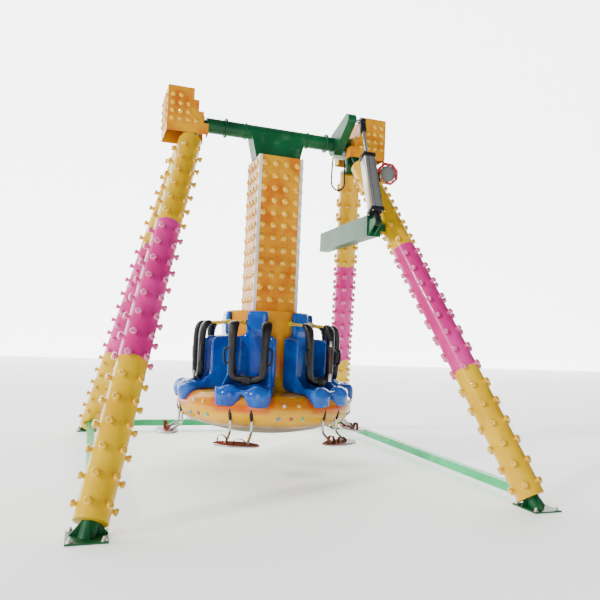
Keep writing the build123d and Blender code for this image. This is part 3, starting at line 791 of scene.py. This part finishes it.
# Grooved barrel between black end caps with hexagon nuts, and the tang below it
body = block("barrel", (barrel_wide, barrel_wide, barrel_length - 0.084), (0, 0, barrel_middle), 0.014)
body.matrix_world = barrel_frame
fit(body, "barrel_shell", "barrel_aluminium", "barrel")
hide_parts("cylinder_barrel")
# Painted shade: the barrel's grooves are drawn as thin black strips on its faces, standing for the shade
# inside them
groove = block("groove", (0.004, 0.003, barrel_length - 0.090), (0, -0.0638, barrel_middle), 0.001)
spots = []
for turn in range(4):
    for x in (-0.024, 0.046):
        spots.append(about_axis(turn * pi / 2) @ Matrix.Translation((x, 0, 0)))
dark = [set_out("grooves", groove, spots)]
cap_wide, cap_high = 0.142, 0.045
for at in (barrel_low, barrel_high - cap_high):
    dark.append(block("cap", (cap_wide, cap_wide, cap_high), (0, 0, at + cap_high / 2), 0.010))
dark.append(bar("gland", (0, 0, barrel_high), (0, 0, barrel_high + 0.022), 0.034, 24))
dark.append(block("tang", (0.042, 0.070, barrel_low), (0, 0, barrel_low / 2), 0.006))
dark.append(bar("tang_eye", (-0.021, 0, 0), (0.021, 0, 0), 0.038, 24))
caps = joined("caps", dark)
caps.matrix_world = barrel_frame
fit(caps, "barrel_caps", "black_cap", "barrel")
spots = []
for x in (-0.052, 0.052):
    for y in (-0.052, 0.052):
        for at in (barrel_low - 0.004, barrel_high):
            spots.append(Matrix.Translation((x, y, at)))
nuts = set_out("nuts", bar("nut", (0, 0, -0.004), (0, 0, 0.010), 0.010, 6), spots)
nuts.matrix_world = barrel_frame
fit(nuts, "barrel_nuts", "bolt_zinc", "barrel")

# Clevis at the upper end of the rod
clevis = joined("clevis", [block("clevis", (0.058, 0.062, 0.120), (0, 0, pins_apart - 0.082), 0.008),
                           bar("clevis_eye", (-0.028, 0, pins_apart), (0.028, 0, pins_apart), 0.046, 28)])
clevis.matrix_world = barrel_frame
fit(clevis, "rod_clevis", "black_cap", "rod")

# Valve and pipe stubs on the barrel's outer side
valve = joined("valve", [block("valve", (0.034, 0.060, 0.110), (0.084, 0, 0.560), 0.005),
                         block("valve_foot", (0.026, 0.040, 0.070), (0.078, 0, 0.330), 0.005),
                         bar("elbow", (0.070, 0, 0.790), (0.098, 0, 0.790), 0.012),
                         bar("pipe", (0.094, 0, 0.300), (0.094, 0, 0.790), 0.006)])
valve.matrix_world = barrel_frame
fit(valve, "valve", "black_cap", "barrel")

# Round lamp on the right box's outer wall: grey drum, dark red angular rim and a green strut
drum_rings = [(0.030, -0.075), (0.088, -0.060), (0.094, 0.020),
              (0.094, 0.036), (0.082, 0.042), (0.020, 0.052)]
lamp_place = Matrix.Translation((1.298, -0.180, 3.285)) @ Matrix.Rotation(pi / 2, 4, "X")
drum = turned("drum", drum_rings, 32)
drum.matrix_world = lamp_place
fit(drum, "round_lamp", "lamp_grey", "frame", 40)
clear_hands()
bpy.ops.mesh.primitive_torus_add(major_segments=8, minor_segments=8, major_radius=0.120, minor_radius=0.017)
rim = bpy.context.object
rim_place = Matrix.Translation((0, 0, 0.030)) @ about_axis(radians(20)) @ Matrix.Diagonal((1, 1, 1.6, 1))
rim.matrix_world = lamp_place @ rim_place
fit(rim, "round_lamp_rim", "rim_red", "frame", 30)
strut = joined("strut", [block("strut", (0.012, 0.040, 0.200), (1.247, -0.180, 3.420), 0.003),
                         bar("stem", (1.247, -0.180, 3.335), (1.290, -0.180, 3.335), 0.012)])
fit(strut, "round_lamp_strut", "steel_green", "frame")

# Collars on the swing beam: place along it, radius and width of each
beam_collars = ((-0.585, 0.105, 0.022), (0.585, 0.105, 0.022), (0.360, 0.092, 0.016), (-0.360, 0.092, 0.016))
collars = []
for x, radius, wide in beam_collars:
    collars.append(bar("collar", (x - wide / 2, 0, beam_z), (x + wide / 2, 0, beam_z), radius, 40))
fit(joined("collars", collars), "beam_collars", "steel_green", "pendulum")

# Foot bolts with their washers, and two crossed gussets on each foot
bolt_x, bolt_y = 0.105, 0.115
for leg, (side, end) in legs.items():
    bolt = joined("bolt", [bar("washer", (0, 0, 0.011), (0, 0, 0.016), 0.022, 20),
                           bar("nut", (0, 0, 0.015), (0, 0, 0.030), 0.016, 6),
                           bar("stud", (0, 0, 0.015), (0, 0, 0.042), 0.009, 12)])
    spots = []
    for x in (-bolt_x, bolt_x):
        for y in (-bolt_y, bolt_y):
            spots.append(Matrix.Translation((side * foot_x + x, end * foot_y + y, 0)))
    fit(set_out("bolts", bolt, spots), f"foot_bolts_{leg}", "bolt_zinc", "frame")
    clear_hands()
    bpy.ops.mesh.primitive_cylinder_add(vertices=3, radius=1, depth=0.010, scale=(0.145, 0.100, 1))
    rib = bpy.context.object
    bpy.ops.object.transform_apply()
    place = Matrix.Translation((side * (foot_x - 0.012), end * (foot_y - 0.030), 0.061))
    spots = [place @ about_axis(turn) @ Matrix.Rotation(pi / 2, 4, "X") for turn in (0, pi / 2)]
    fit(set_out("ribs", rib, spots), f"foot_gussets_{leg}", "steel_green", "frame")

# Floor and light
stage_size, studio_white = 60, (0.96, 1.0, 0.98)
floor_glow, backdrop_glow, world_glow = 0.70, 5.0, 0.24
bpy.ops.mesh.primitive_plane_add(size=stage_size, location=(0, 0, -0.001))
floor = bpy.context.object
floor.name = "floor"
ground = Finish("pale_floor")
ground.set(Base_Color=ground.mix(ground.noise(0.6, 3), (0.86, 0.87, 0.86), (0.90, 0.91, 0.90)))
ground.set(Roughness=0.7, Emission_Color=studio_white, Emission_Strength=floor_glow)
floor.data.materials.append(ground.material)
floor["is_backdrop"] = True

bpy.ops.mesh.primitive_plane_add(size=stage_size, location=(0, 22, 12), rotation=(pi / 2, 0, 0))
backdrop = bpy.context.object
backdrop.name = "backdrop"
paper = Finish("white_backdrop")
paper.set(Base_Color=(0.9, 0.9, 0.9), Emission_Color=studio_white, Emission_Strength=backdrop_glow)
paper.set(Roughness=paper.noise(2.0, 2) * 0.1 + 0.6)
backdrop.data.materials.append(paper.material)
backdrop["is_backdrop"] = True

world = bpy.data.worlds.new("studio")
bpy.context.scene.world = world
world.use_nodes = True
sky = world.node_tree.nodes["Background"].inputs
sky["Color"].default_value = (0.93, 0.97, 1.0, 1)
sky["Strength"].default_value = world_glow


def light_from(name, kind, place, target, power, colour, size):
    """A light at a place, turned to a target; size is the sun's angle or the disc's width."""
    data = bpy.data.lights.new(name, kind)
    data.energy, data.color = power, colour
    if kind == "SUN":
        data.angle = size
    else:
        data.shape, data.size = "DISK", size
    light = bpy.data.objects.new(name, data)
    bpy.context.scene.collection.objects.link(light)
    light.location = place
    light.rotation_euler = (Vector(target) - Vector(place)).to_track_quat("-Z", "Y").to_euler()


light_from("sun_light", "SUN", (-9.0, -2.4, 6.0), (0, 0, 1.8), 2.7, (1.0, 0.97, 0.92), 0.09)
light_from("front_light", "AREA", (-5.0, -10.0, 2.5), (0, 0, 1.8), 210, (1.0, 1.0, 1.0), 5.0)

low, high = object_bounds()
